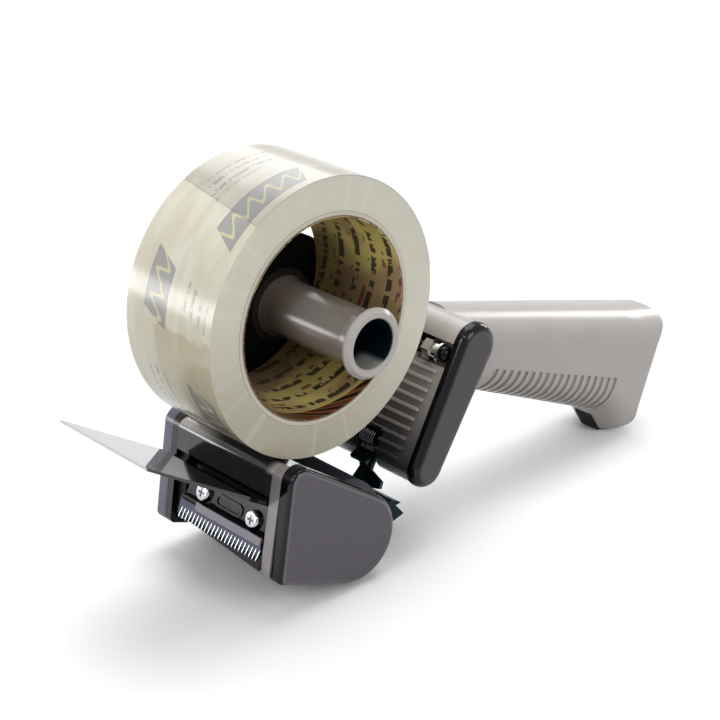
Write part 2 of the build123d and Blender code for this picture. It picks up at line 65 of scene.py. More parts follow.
# Sizes in millimetres, from the frame where it gives them. The roll's centre is in metres.
LINER_WALL = 0.3
BLADE_TEETH = 24
ROLL_CENTRE = middle("tape_winding")
ROLL_RADIUS = span("tape_winding", 0) / 2
ROLL_HALF = span("tape_winding", 1) / 2
CORE_RADIUS = span("tape_core", 0) / 2
LINER_BORE = span("core_liner", 0) / 2 - LINER_WALL
HUB_PLACE = SIDE_VIEW.transposed() @ (middle("hub") - ROLL_CENTRE) / MM
BLADE_HALF = span("blade", 1) / 2
TOOTH_PITCH = 2 * BLADE_HALF / BLADE_TEETH
NEAR_CAP_FACE = (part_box("head_near_cap")[0].y - ROLL_CENTRE.y) / MM
BRIDGE_CAP_FACE = (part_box("bridge_cap")[0].y - ROLL_CENTRE.y) / MM

# Bridge's face towards the roll, at u = BRIDGE_FACE + BRIDGE_LEAN * v, between the crests of its
# ribs and their feet
BRIDGE_FACE = 72.55
BRIDGE_LEAN = 0.153

# Hub: radius of its tube and of its bore, and the places across the tool of the side plate's inside,
# of the foot of the flared rim and of the hub's open end
HUB_RADIUS = 11.3
HUB_BORE = 9.8
PLATE_INSIDE = 25.0
HUB_RIM_FOOT = -24.1
HUB_END = -27.3

# Painted shade: inside the roll, the hub and the sleeve are painted darker towards the plate
# between these places across the tool
DEEP_SHADE_START = -8.0
DEEP_SHADE_END = 18.0

# Print on the film, in millimetres along and across the tape. The plates and the dashes between
# them take these shares of the pitch, and the second row runs behind the first.
PRINT_PITCH = 118.0
PRINT_START = 101.0
PRINT_STAGGER = 0.45
PRINT_ROWS = ((-14.0, PRINT_START), (7.5, PRINT_START + PRINT_PITCH * PRINT_STAGGER))
PRINT_SLANT = 0.5
ROW_HALF = 6.2
PLATE_SHARE = (0.03, 0.37)
DASH_SHARE = (0.55, 0.79)
DASH_PITCH = 4.2
WAVE_TURN = 0.75
WAVE_HEIGHT = 3.0
WAVE_LINE = 0.9

# Short names of the nodes that patterns use most, with their usual settings
SHORT = {
    "FADE": ("ShaderNodeMapRange", {"interpolation_type": "SMOOTHSTEP"}),
    "BLEND": ("ShaderNodeMix", {"data_type": "RGBA"}),
    "NOISE": ("ShaderNodeTexNoise", {}),
}

# A noise's scale is one over the size of its grains in millimetres. The value after it is its
# detail, which is SOFT for clouds and drifting tones and FINE for grain.
SOFT = 2.0
FINE = 3.0


def srgb(code):
    """Linear colour of an sRGB hex code."""
    values = []
    for place in (1, 3, 5):
        share = int(code[place:place + 2], 16) / 255
        values.append(share / 12.92 if share <= 0.04045 else ((share + 0.055) / 1.055) ** 2.4)
    return (*values, 1.0)


def add(tree, kind, *values, **settings):
    """Adds a node. A kind in capitals is a short name or a Math operation. Values fill its inputs
    in order, and settings are its attributes or named inputs. A node or a socket among them is
    linked, a hex code becomes a colour, and None leaves an input as it is."""
    node_type, usual = SHORT.get(kind, (kind, {}))
    if node_type.isupper():
        node_type, usual = "ShaderNodeMath", {"operation": kind}
    node = tree.nodes.new(node_type)
    attributes = {key: value for key, value in {**usual, **settings}.items() if hasattr(node, key)}
    for key, value in attributes.items():
        setattr(node, key, value)
    wanted = list(zip([socket for socket in node.inputs if socket.enabled], values))
    named = [key for key in settings if key not in attributes]
    wanted += [(node.inputs[key.replace("_", " ")], settings[key]) for key in named]
    for socket, value in wanted:
        if isinstance(value, bpy.types.Node):
            value = next(output for output in value.outputs if output.enabled)
        if isinstance(value, bpy.types.NodeSocket):
            tree.links.new(value, socket)
        elif isinstance(value, str) and value[:1] == "#":
            socket.default_value = srgb(value)
        elif value is not None:
            socket.default_value = value
    return node


def start(name, colour, roughness, metallic=0.0, ior=1.5, shine=0.5, coat=0.0):
    """New material, its tree, its shader and the place on the tool in millimetres: u, w and v."""
    material = bpy.data.materials.new(name)
    material.use_nodes = True
    tree = material.node_tree
    shader = tree.nodes["Principled BSDF"]
    plain = {"Base Color": srgb(colour), "Roughness": roughness, "Metallic": metallic, "IOR": ior,
             "Specular IOR Level": shine, "Coat Weight": coat, "Coat Roughness": 0.05}
    for label, value in plain.items():
        shader.inputs[label].default_value = value
    coordinates = add(tree, "ShaderNodeTexCoord").outputs["Object"]
    place = add(tree, "ShaderNodeMapping", coordinates, ROLL_CENTRE, (0, STAND_TILT, 0), (MM, MM, MM),
                vector_type="TEXTURE")
    return material, tree, shader, place


def dress(tree, shader, colour, height, depth, roughness=None):
    """Gives the shader its finished colour, its relief, of a depth in millimetres, and its roughness."""
    bump = add(tree, "ShaderNodeBump", Strength=0.5, Distance=depth * MM, Height=height)
    tree.links.new(bump.outputs[0], shader.inputs["Normal"])
    tree.links.new(colour.outputs["Result"], shader.inputs["Base Color"])
    if roughness:
        tree.links.new(roughness.outputs["Result"], shader.inputs["Roughness"])


def within(tree, value, low, high, soft):
    """1 between low and high, fading out over soft."""
    rise = add(tree, "FADE", value, low - soft, low)
    return add(tree, "MULTIPLY", rise, add(tree, "FADE", value, high + soft, high))


def round_place(tree, place, centre_u=0.0, centre_v=0.0):
    """Radius and w in millimetres and the angle in degrees about an axis across the tool."""
    moved = add(tree, "ShaderNodeVectorMath", place, (centre_u, 0, centre_v), operation="SUBTRACT")
    parts = add(tree, "ShaderNodeSeparateXYZ", moved)
    flat = add(tree, "ShaderNodeVectorMath", moved, (1, 0, 1), operation="MULTIPLY")
    radius = add(tree, "ShaderNodeVectorMath", flat, operation="LENGTH").outputs["Value"]
    angle = add(tree, "DEGREES", add(tree, "ARCTAN2", parts.outputs["Z"], parts.outputs["X"]))
    return radius, angle, parts.outputs["Y"]


def moulded(name, colour, roughness, grain=0.8, depth=0.01, other=None, shine=0.5, coat=0.0):
    """Injection-moulded plastic or rubber, whose tone drifts a little. The mould leaves a grain that
    is too fine to show at its real size, so it is drawn coarser."""
    material, tree, shader, place = start(name, colour, roughness, ior=1.53, shine=shine, coat=coat)
    toned = add(tree, "BLEND", add(tree, "NOISE", place, 1 / 18, SOFT), colour, other or colour)
    dress(tree, shader, toned, add(tree, "NOISE", place, 1 / grain, FINE), depth)
    return material


def metal(name, colour, roughness, dark=None):
    """Steel, turned, drawn or stamped, and plated or blackened, whose tone drifts a little. The marks
    of its making are drawn coarser than real, to show."""
    material, tree, shader, place = start(name, colour, roughness, metallic=1.0)
    toned = add(tree, "BLEND", add(tree, "NOISE", place, 1 / 4, SOFT), colour, dark or colour)
    dress(tree, shader, toned, add(tree, "NOISE", place, 1 / 0.25, FINE), 0.004)
    return material


def satin_cap(name, face_w, highlight_share):
    """Moulded ABS cap: its spark-eroded face is satin mauve, with a grain drawn coarser than real,
    and its polished wall is glossy and nearly black. A painted highlight runs where they meet."""
    material, tree, shader, place = start(name, "#4d474e", 0.4, ior=1.53, shine=0.3)
    w = add(tree, "ShaderNodeSeparateXYZ", place).outputs["Y"]
    on_face = add(tree, "FADE", w, face_w + 0.16, face_w + 0.03)
    toned = add(tree, "BLEND", add(tree, "NOISE", place, 1 / 22, SOFT), "#443f45", "#3c373e")
    colour = add(tree, "BLEND", on_face, "#05060b", toned)
    # Painted highlight along the line where the face meets the wall
    edge = add(tree, "MULTIPLY", within(tree, w, face_w + 0.08, face_w + 0.3, 0.15), highlight_share)
    colour = add(tree, "BLEND", edge, colour, "#a9a4ad")
    gloss = add(tree, "ShaderNodeMix", on_face, 0.07, 0.42, data_type="FLOAT")
    dress(tree, shader, colour, add(tree, "NOISE", place, 1 / 0.3, FINE), 0.015, gloss)
    return material


def far_cap():
    """Polished ABS cap: mauve outside and black towards the housing, with a painted highlight between."""
    material, tree, shader, place = start("mauve_polished_abs", "#605c6b", 0.26, ior=1.53)
    w = add(tree, "ShaderNodeSeparateXYZ", place).outputs["Y"]
    mauve_from = 34.4
    colour = add(tree, "BLEND", add(tree, "FADE", w, mauve_from, mauve_from + 0.5), "#04060b", "#5f5b6c")
    # Painted highlight along the line between the black and the mauve
    edge = add(tree, "MULTIPLY", within(tree, w, mauve_from - 0.5, mauve_from - 0.1, 0.15), 0.4)
    colour = add(tree, "BLEND", edge, colour, "#a9a4b0")
    dress(tree, shader, colour, add(tree, "NOISE", place, 1 / 0.4, FINE), 0.01)
    return material


def housing():
    """Polished grey ABS: light at its far end, with painted shade and a painted reflection of the roll
    where the roll shades it, painted shade below its lip, and mauve on its near wall.
    """
    material, tree, shader, place = start("grey_polished_abs", "#8f8a88", 0.16, ior=1.53, coat=0.4)
    parts = add(tree, "ShaderNodeSeparateXYZ", place).outputs
    v, w = parts["Z"], parts["Y"]
    wall_inside, top_edge, lip_edge = -25.0, -50.5, -57.5
    # Painted shade and painted reflection of the roll on the top, and painted shade below the lip
    under_roll = add(tree, "MULTIPLY", add(tree, "FADE", w, 22, 4),
                     add(tree, "FADE", w, wall_inside - 0.5, wall_inside + 5))
    shade = add(tree, "MULTIPLY", under_roll, add(tree, "FADE", v, top_edge, top_edge - 4))
    shade = add(tree, "MAXIMUM", shade, add(tree, "FADE", v, lip_edge, lip_edge - 2.5))
    top = add(tree, "BLEND", add(tree, "MULTIPLY", shade, 0.97), "#a8a29e", "#060e15")
    near_wall = add(tree, "FADE", w, wall_inside + 0.4, wall_inside - 0.4)
    colour = add(tree, "BLEND", near_wall, top, "#8a8384")
    dress(tree, shader, colour, add(tree, "NOISE", place, 1 / 0.6, FINE), 0.008)
    return material


def hub():
    """Polished taupe ABS tube: lighter rim, painted shade towards the plate and on its low side, a bore
    painted dark as shade with a painted pool of light low near its mouth, and black where it meets
    the plate."""
    material, tree, shader, place = start("taupe_polished_abs", "#8d8580", 0.2, ior=1.53)
    radius, angle, w = round_place(tree, place, HUB_PLACE.x, HUB_PLACE.z)
    # Painted shade: the tube darkens towards the plate, and more on its low side
    tube = add(tree, "BLEND", add(tree, "FADE", w, DEEP_SHADE_START, DEEP_SHADE_END), "#8f8782", "#6b615b")
    painted_low_shade = add(tree, "MULTIPLY", within(tree, angle, -120, -60, 25), 0.6)
    tube = add(tree, "BLEND", painted_low_shade, tube, "#5b4f47")
    rim = add(tree, "FADE", w, HUB_RIM_FOOT + 0.5, HUB_RIM_FOOT - 0.5)
    outside = add(tree, "BLEND", rim, tube, "#bdb8b4")
    flange = add(tree, "MULTIPLY", add(tree, "FADE", radius, HUB_RADIUS + 0.7, HUB_RADIUS + 1.1),
                 add(tree, "FADE", w, PLATE_INSIDE - 3, PLATE_INSIDE - 1.8))
    outside = add(tree, "BLEND", flange, outside, "#010102")
    inside = add(tree, "MULTIPLY", add(tree, "FADE", radius, HUB_BORE + 0.7, HUB_BORE + 0.4),
                 add(tree, "FADE", w, HUB_END, HUB_END + 0.3))
    # Painted shade fills the bore, with a painted pool of light low near its mouth
    painted_light_pool = add(tree, "MULTIPLY", within(tree, angle, -125, -50, 20), add(tree, "FADE", w, -13, -19))
    bore = add(tree, "BLEND", painted_light_pool, "#0a1c24", "#a3a09c")
    gloss = add(tree, "ShaderNodeMix", flange, 0.2, 0.95, data_type="FLOAT")
    colour = add(tree, "BLEND", inside, outside, bore)
    dress(tree, shader, colour, add(tree, "NOISE", place, 1 / 1.2, FINE), 0.008, gloss)
    return material


def film_print(tree, place, angle, w, base):
    """Grey slanted plates with a cream wave, and broken dashes between them, in two staggered rows."""
    run = add(tree, "MULTIPLY", angle, math.pi * ROLL_RADIUS / 180)
    marked = base
    for row_middle, shift in PRINT_ROWS:
        aside = add(tree, "SUBTRACT", w, row_middle)
        slant = add(tree, "MULTIPLY_ADD", aside, PRINT_SLANT, add(tree, "SUBTRACT", run, shift))
        turn = add(tree, "FRACT", add(tree, "DIVIDE", slant, PRINT_PITCH))
        in_row = within(tree, aside, -ROW_HALF, ROW_HALF, 0.25)
        plate = add(tree, "MULTIPLY", within(tree, turn, *PLATE_SHARE, 0.004), in_row)
        wave = add(tree, "SINE", add(tree, "MULTIPLY", slant, WAVE_TURN))
        off_wave = add(tree, "MULTIPLY_ADD", wave, -WAVE_HEIGHT, aside)
        crest = add(tree, "MULTIPLY", plate, within(tree, off_wave, -WAVE_LINE, WAVE_LINE, 0.4))
        marked = add(tree, "BLEND", add(tree, "MULTIPLY", plate, 0.62), marked, "#727682")
        marked = add(tree, "BLEND", add(tree, "MULTIPLY", crest, 0.8), marked, "#d8cca4")
        lines = within(tree, add(tree, "FRACT", add(tree, "DIVIDE", aside, DASH_PITCH)), 0.25, 0.62, 0.05)
        broken = add(tree, "FADE", add(tree, "NOISE", place, 1 / 2, 1.0), 0.42, 0.46)
        dashes = add(tree, "MULTIPLY", within(tree, turn, *DASH_SHARE, 0.004), in_row)
        dashes = add(tree, "MULTIPLY", add(tree, "MULTIPLY", dashes, lines), broken)
        marked = add(tree, "BLEND", add(tree, "MULTIPLY", dashes, 0.5), marked, "#737782")
    return marked


def film(name):
    """Drawn and coated clear polypropylene film in many layers: glossy, milky in depth, and cloudy
    where air is between the layers."""
    material, tree, shader, place = start(name, "#d8d4c2", 0.19, ior=1.49)
    shader.inputs["Subsurface Weight"].default_value = 0.3
    shader.inputs["Subsurface Radius"].default_value = (1.0, 0.9, 0.6)
    shader.inputs["Subsurface Scale"].default_value = 4 * MM
    radius, angle, w = round_place(tree, place)
    pulled = add(tree, "ShaderNodeVectorMath", place, (0.25, 1, 0.25), operation="MULTIPLY")
    clouds = add(tree, "FADE", add(tree, "NOISE", pulled, 1 / 7, FINE), 0.3, 0.7)
    skin = add(tree, "BLEND", clouds, "#cdc7b3", "#dad7c8")
    return material, tree, shader, place, radius, angle, w, skin


def wound_film():
    """Roll of wound film: rings and faint rays on its faces, painted shade that darkens the faces
    towards the bottom, and a darker stretch where two layers cling. The real rings are as fine as the
    film, so they are drawn coarser, to show."""
    material, tree, shader, place, radius, angle, w, skin = film("polypropylene_film_roll")
    rings = add(tree, "NOISE", radius, 3.4, 6.0, noise_dimensions="1D")
    grain = add(tree, "FADE", rings, 0.3, 0.7)
    high = add(tree, "BLEND", grain, "#dcd8c6", "#eae7d8")
    low = add(tree, "BLEND", grain, "#b1aa96", "#beb7a3")
    v = add(tree, "ShaderNodeSeparateXYZ", place).outputs["Z"]
    # Painted shade: each face is lighter at the top and darker towards the bottom
    face = add(tree, "BLEND", add(tree, "FADE", v, 5, -52), high, low)
    rays = add(tree, "FADE", add(tree, "NOISE", angle, 0.16, FINE, noise_dimensions="1D"), 0.5, 0.8)
    face = add(tree, "BLEND", add(tree, "MULTIPLY", rays, 0.16), face, "#fbfaf4")
    wander = add(tree, "MULTIPLY_ADD", add(tree, "NOISE", place, 1 / 9, FINE), 16.0, angle)
    lap_start, lap_end = -156, -88
    lapped = add(tree, "MULTIPLY", within(tree, wander, lap_start, lap_end, 2), add(tree, "FADE", w, 9, 6))
    skin = add(tree, "BLEND", add(tree, "MULTIPLY", lapped, 0.6), skin, "#b0a684")
    skin = film_print(tree, place, angle, w, skin)
    outer = add(tree, "FADE", radius, ROLL_RADIUS - 0.6, ROLL_RADIUS - 0.25)
    dress(tree, shader, add(tree, "BLEND", outer, face, skin), rings, 0.03)
    return material


def film_end():
    """Last layer of film, milky along its cut end where air is under it."""
    material, tree, shader, place, _, angle, w, skin = film("polypropylene_film_end")
    cut = add(tree, "ShaderNodeAttribute", attribute_name="from_cut").outputs["Fac"]
    ragged = add(tree, "MULTIPLY_ADD", add(tree, "NOISE", place, 1 / 2.2, FINE), 5.0, cut)
    milky = add(tree, "MULTIPLY", add(tree, "FADE", ragged, 7.5, 3.0), 0.8)
    skin = add(tree, "BLEND", milky, film_print(tree, place, angle, w, skin), "#f2f2ee")
    dress(tree, shader, skin, add(tree, "NOISE", place, 1 / 6, SOFT), 0.02)
    return material


def printed_sleeve():
    """Coated and printed paper: gold, clouded with tan that stands in for painted shade and reflection,
    with dark dashes round it, and a dark red striped band low at its near edge. Painted shade darkens
    it towards the plate."""
    material, tree, shader, place = start("coated_printed_paper", "#c9b76c", 0.3, ior=1.5)
    _, angle, w = round_place(tree, place)
    run = add(tree, "MULTIPLY", angle, math.pi * LINER_BORE / 180)
    lane_pitch, lane_lean = 9.0, 0.22
    band_turn, band_swing, band_edge = 105.0, 9.0, -24.5
    # Tan clouds over the gold stand in for painted shade and reflection
    clouds = add(tree, "FADE", add(tree, "NOISE", place, 1 / 24, 1.0), 0.4, 0.6)
    ground = add(tree, "BLEND", clouds, "#d3c377", "#a88d68")
    lane = add(tree, "FRACT", add(tree, "DIVIDE", add(tree, "MULTIPLY_ADD", run, lane_lean, w), lane_pitch))
    squeezed = add(tree, "ShaderNodeVectorMath", place, (1, 0.4, 1), operation="MULTIPLY")
    broken = add(tree, "FADE", add(tree, "NOISE", squeezed, 1 / 2.4, 1.0), 0.45, 0.5)
    words = add(tree, "MULTIPLY", within(tree, lane, 0.3, 0.58, 0.03), broken)
    ground = add(tree, "BLEND", add(tree, "MULTIPLY", words, 0.9), ground, "#231a1c")
    spots = add(tree, "FADE", add(tree, "NOISE", place, 1 / 4.5), 0.56, 0.6)
    spots = add(tree, "MULTIPLY", within(tree, lane, 0.72, 0.92, 0.03), spots)
    ground = add(tree, "BLEND", add(tree, "MULTIPLY", spots, 0.8), ground, "#6d2231")
    slope = add(tree, "MULTIPLY_ADD", w, 0.2, add(tree, "MULTIPLY", run, 0.13))
    stripes = within(tree, add(tree, "FRACT", slope), 0.1, 0.5, 0.03)
    bands = add(tree, "BLEND", stripes, "#6b3024", "#0f0a0d")
    thin = within(tree, add(tree, "FRACT", add(tree, "MULTIPLY_ADD", slope, 1.5, 0.3)), 0.93, 0.97, 0.03)
    bands = add(tree, "BLEND", thin, bands, "#b8a850")
    swing = add(tree, "COSINE", add(tree, "RADIANS", add(tree, "ADD", angle, band_turn)))
    inland = add(tree, "SUBTRACT", w, add(tree, "MULTIPLY_ADD", swing, band_swing, band_edge))
    colour = add(tree, "BLEND", add(tree, "FADE", inland, 0.2, 0.0), ground, bands)
    colour = add(tree, "BLEND", within(tree, inland, 0.0, 0.5, 0.2), colour, "#cfc272")
    # Painted shade towards the plate
    painted_deep_shade = add(tree, "MULTIPLY", add(tree, "FADE", w, DEEP_SHADE_START, DEEP_SHADE_END), 0.65)
    colour = add(tree, "BLEND", painted_deep_shade, colour, "#4f4038")
    dress(tree, shader, colour, add(tree, "NOISE", place, 1 / 1.5, SOFT), 0.02)
    return material


def core_board():
    """Spiral-wound cardboard, whose sawn near end is mostly under film. Its fibres are drawn coarser
    than real, to show."""
    material, tree, shader, place = start("spiral_wound_cardboard", "#8d7458", 0.7)
    radius, _, _ = round_place(tree, place)
    ragged = add(tree, "MULTIPLY_ADD", add(tree, "NOISE", place, 1 / 1.0, SOFT), 0.5, radius)
    under_film = add(tree, "FADE", ragged, LINER_BORE + 0.9, LINER_BORE + 1.2)
    colour = add(tree, "BLEND", under_film, "#7a5f48", "#d5d1c0")
    dress(tree, shader, colour, add(tree, "NOISE", place, 1 / 0.3, FINE), 0.05)
    return material


def blade_steel():
    """Hardened steel strip, blue-grey from its heat, with a painted glint on one flank of each tooth.
    Its brush marks are drawn coarser than real, to show."""
    material, tree, shader, place = start("ground_tool_steel", "#5c5f6c", 0.26, metallic=1.0)
    parts = add(tree, "ShaderNodeSeparateXYZ", place).outputs
    v, w = parts["Z"], parts["Y"]
    tooth_top = -90.0
    across = add(tree, "FRACT", add(tree, "DIVIDE", add(tree, "SUBTRACT", w, BLADE_HALF), TOOTH_PITCH))
    lean = add(tree, "MULTIPLY_ADD", add(tree, "SUBTRACT", v, tooth_top), 0.12, across)
    low = add(tree, "FADE", v, tooth_top + 1.6, tooth_top + 0.6)
    # Painted glint on one flank of each tooth, on the teeth only
    painted_glint = add(tree, "MULTIPLY", within(tree, lean, 0.06, 0.18, 0.06), low)
    colour = add(tree, "BLEND", painted_glint, "#33343f", "#cfd2da")
    brushed = add(tree, "ShaderNodeVectorMath", place, (1, 6, 1), operation="MULTIPLY")
    dress(tree, shader, colour, add(tree, "NOISE", brushed, 1 / 0.3, FINE), 0.01)
    return material


def handle():
    """Moulded grey ABS with a fine grain, drawn coarser than real. Its rib crests carry a painted
    highlight, painted shade darkens the face that the roll shades towards the bottom, and the bolt's
    slot is painted black as shade in the recess."""
    material, tree, shader, place = start("grey_grained_abs", "#b8b3b0", 0.26, ior=1.53)
    parts = add(tree, "ShaderNodeSeparateXYZ", place).outputs
    u, v, w = parts["X"], parts["Z"], parts["Y"]
    shade_top, shade_low, crest_top, crest_low = -10, -60, -30, -56
    toned = add(tree, "BLEND", add(tree, "NOISE", place, 1 / 16, SOFT), "#bab5b2", "#b1aca8")
    lean = add(tree, "MULTIPLY_ADD", v, -BRIDGE_LEAN, u)
    # Painted shade: the face towards the roll darkens towards the bottom
    face = add(tree, "FADE", lean, BRIDGE_FACE + 3.5, BRIDGE_FACE + 1.5)
    shaded = add(tree, "BLEND", add(tree, "FADE", v, shade_top, shade_low), "#b9b2ac", "#3a393d")
    colour = add(tree, "BLEND", face, toned, shaded)
    # Painted highlight along the rib crests
    crest = add(tree, "MULTIPLY", add(tree, "FADE", lean, BRIDGE_FACE - 0.45, BRIDGE_FACE - 0.75),
                add(tree, "FADE", v, crest_low, crest_top))
    colour = add(tree, "BLEND", add(tree, "MULTIPLY", crest, 0.9), colour, "#d6d1cb")
    # Painted shade: the bolt's slot is painted black
    slot_low, slot_top, slot_near, slot_far = -12.9, -4.9, -12.9, 23.0
    slot = add(tree, "MULTIPLY", within(tree, v, slot_low, slot_top, 0.05),
               within(tree, w, slot_near, slot_far, 0.4))
    slot = add(tree, "MULTIPLY", slot, within(tree, lean, BRIDGE_FACE + 1.2, BRIDGE_FACE + 9.2, 0.4))
    colour = add(tree, "BLEND", slot, colour, "#05070d")
    dress(tree, shader, colour, add(tree, "NOISE", place, 1 / 0.5, FINE), 0.015)
    return material


LOOKS = {
    "side_plate": moulded("black_moulded_abs", "#06070c", 0.4, shine=0.15),
    "hub": hub(),
    "core_liner": printed_sleeve(),
    "tape_core": core_board(),
    "tape_winding": wound_film(),
    "head_housing": housing(),
    "head_near_cap": satin_cap("mauve_satin_abs", NEAR_CAP_FACE, 0.35),
    "head_far_cap": far_cap(),
    "blade_holder": moulded("black_polished_abs", "#04050a", 0.14, shine=0.2),
    "blade": blade_steel(),
    "blade_clamp": moulded("mauve_painted_steel", "#6c6570", 0.35),
    "blade_screws": metal("nickel_plated_steel", "#c8c8cc", 0.08, "#a9a9ae"),
    "wiper_plate": moulded("dark_polished_acetal", "#120e0d", 0.06, other="#1d1513", coat=0.2),
    "roller_tyre": moulded("slate_rubber", "#1f232b", 0.5, grain=0.4, depth=0.03),
    "roller_core": moulded("black_polypropylene", "#141416", 0.5),
    "roller_shaft": metal("turned_steel", "#b0b0b2", 0.3),
    "handle_body": handle(),
    "bridge_cap": satin_cap("mauve_satin_abs_bridge", BRIDGE_CAP_FACE, 0.1),
    "butt_foot": moulded("black_rubber", "#08080a", 0.6, shine=0.2),
    "brake_bolt": metal("blackened_steel", "#1c2029", 0.3),
    "brake_nut": metal("zinc_plated_steel", "#b9b7ae", 0.14, "#8f8d84"),
    "brake_washer": metal("bright_zinc_steel", "#d8d8d6", 0.12),
    "brake_tip": moulded("black_polished_nylon", "#010103", 0.05, shine=0.15),
    "arm_pin": metal("drawn_steel", "#8a8a8c", 0.3),
    "tension_arm": metal("phosphated_steel", "#33474f", 0.3, "#1f2e35"),
    "guide_bar": metal("phosphated_steel_bar", "#1e2e36", 0.35, "#141e24"),
    "torsion_spring": metal("drawn_spring_steel", "#6e7078", 0.24, "#4c4d55"),
}
for node_name, look in LOOKS.items():
    for slot in nodes[node_name].material_slots:
        slot.material = look


# Wound tape and its last layer, in millimetres: the room that the wound tape leaves under the last
# layer, how far that layer keeps inside the roll's solid all round and at its sides, and its wall.
# Corners sharper than the angle stay sharp when the meshes are smoothed.
LAYER_ROOM = 0.14
LAYER_INSET = 0.02
SIDE_INSET = 0.15
FILM_WALL = 0.06
SHARP_EDGE = math.radians(20)


def new_tree(name, sizes):
    """Geometry Nodes tree with one named input for each size, and its input and output nodes."""
    tree = bpy.data.node_groups.new(name, "GeometryNodeTree")
    for label, value in sizes.items():
        kind = "NodeSocketInt" if isinstance(value, int) else "NodeSocketFloat"
        tree.interface.new_socket(label, in_out="INPUT", socket_type=kind).default_value = value
    tree.interface.new_socket("Geometry", in_out="OUTPUT", socket_type="NodeSocketGeometry")
    return tree, tree.nodes.new("NodeGroupInput").outputs


def end_tree(tree, shape, look):
    """Puts the shape on the tool and gives it its material."""
    placed = add(tree, "GeometryNodeTransform", shape, ROLL_CENTRE, (0, STAND_TILT, 0))
    real = add(tree, "GeometryNodeRealizeInstances", placed)
    painted = add(tree, "GeometryNodeSetMaterial", real, Material=look)
    tree.links.new(painted.outputs[0], tree.nodes.new("NodeGroupOutput").inputs[0])


def grow(name, tree, sizes, wall=0.0):
    """Plain smooth mesh that a tree makes with these sizes, with a wall where one is given."""
    maker = bpy.data.objects.new(name + "_maker", bpy.data.meshes.new(name + "_maker"))
    bpy.context.scene.collection.objects.link(maker)
    modifier = maker.modifiers.new("shape", "NODES")
    modifier.node_group = tree
    for item in tree.interface.items_tree:
        if item.name in sizes:
            modifier[item.identifier] = sizes[item.name]
    if wall:
        solid = maker.modifiers.new("wall", "SOLIDIFY")
        solid.thickness = wall
        solid.offset = -1.0
    made = maker.evaluated_get(bpy.context.evaluated_depsgraph_get())
    mesh = bpy.data.meshes.new_from_object(made, preserve_all_data_layers=True,
                                           depsgraph=bpy.context.evaluated_depsgraph_get())
    bpy.data.objects.remove(maker)
    mesh.name = name
    mesh.shade_smooth()
    mesh.set_sharp_from_angle(angle=SHARP_EDGE)
    piece = bpy.data.objects.new(name, mesh)
    bpy.context.scene.collection.objects.link(piece)
    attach(piece, "tape_roll")
    return piece


# Wound tape: a section with softly rounded edges carried round the roll's axis
roll_sizes = {"Inner": CORE_RADIUS * MM, "Outer": (ROLL_RADIUS - LAYER_ROOM) * MM,
              "Width": 2 * ROLL_HALF * MM, "Edge": 0.3 * MM, "Steps": 300}
tree, given = new_tree("wound_tape_shape", roll_sizes)
depth = add(tree, "SUBTRACT", given["Outer"], given["Inner"])
section = add(tree, "GeometryNodeCurvePrimitiveQuadrilateral", depth, given["Width"])
section = add(tree, "GeometryNodeFilletCurve", section, mode="POLY", Count=2, Radius=given["Edge"])
ring = add(tree, "GeometryNodeCurvePrimitiveCircle", given["Steps"],
           add(tree, "MULTIPLY_ADD", depth, 0.5, given["Inner"]))
ring = add(tree, "GeometryNodeSetCurveNormal", ring, mode="Z_UP")
swept = add(tree, "GeometryNodeCurveToMesh", ring, section)
end_tree(tree, add(tree, "GeometryNodeTransform", swept, None, (math.pi / 2, 0, 0)), LOOKS["tape_winding"])
wound = grow("wound_tape", tree, roll_sizes)
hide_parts("tape_winding")

# Last layer of the tape with its toothed cut end: a grid bent round the roll
wrap_sizes = {"Radius": (ROLL_RADIUS - LAYER_INSET) * MM, "Width": 2 * (ROLL_HALF - SIDE_INSET) * MM,
              "Start": math.radians(141.0), "Skew": -0.17, "Length": math.radians(118.0),
              "Teeth": 40, "Tooth": math.radians(0.7), "Columns": 160, "Rows": 60}
tree, given = new_tree("last_wrap_shape", wrap_sizes)
sheet = add(tree, "GeometryNodeMeshGrid", 1.0, 1.0, add(tree, "ADD", given["Columns"], 1),
            add(tree, "ADD", given["Rows"], 1))
spot = add(tree, "ShaderNodeSeparateXYZ", add(tree, "GeometryNodeInputPosition")).outputs
# The grid's rows lie closer together at the cut end
share = add(tree, "POWER", add(tree, "ADD", spot["Y"], 0.5), 1.5)
across = add(tree, "MULTIPLY", spot["X"], given["Width"])
tooth = add(tree, "PINGPONG", add(tree, "MULTIPLY", add(tree, "ADD", spot["X"], 0.5), given["Teeth"]), 0.5)
skewed = add(tree, "RADIANS", add(tree, "MULTIPLY", add(tree, "DIVIDE", across, MM), given["Skew"]))
begin = add(tree, "ADD", given["Start"], skewed)
begin = add(tree, "MULTIPLY_ADD", add(tree, "MULTIPLY", tooth, 2.0), given["Tooth"], begin)
back = add(tree, "MULTIPLY", share, given["Length"])
angle = add(tree, "SUBTRACT", begin, back)
along = add(tree, "MULTIPLY", add(tree, "COSINE", angle), given["Radius"])
up = add(tree, "MULTIPLY", add(tree, "SINE", angle), given["Radius"])
bent = add(tree, "ShaderNodeCombineXYZ", along, across, up)
sheet = add(tree, "GeometryNodeSetPosition", sheet, Position=bent)
from_cut = add(tree, "MULTIPLY", back, ROLL_RADIUS)
sheet = add(tree, "GeometryNodeStoreNamedAttribute", sheet, Name="from_cut", Value=from_cut)
end_tree(tree, sheet, film_end())
grow("tape_last_wrap", tree, wrap_sizes, FILM_WALL * MM)

# Camera as in the photograph
camera = bpy.data.objects.new("camera", bpy.data.cameras.new("camera"))
bpy.context.scene.collection.objects.link(camera)
bpy.context.scene.camera = camera
camera.location = (-0.48222, -0.48351, 0.35946)
camera.rotation_euler = Euler([math.radians(turn) for turn in (66.6835, -1.0868, -42.9476)])
camera.data.lens = 92.5
camera.data.sensor_width = 36.0

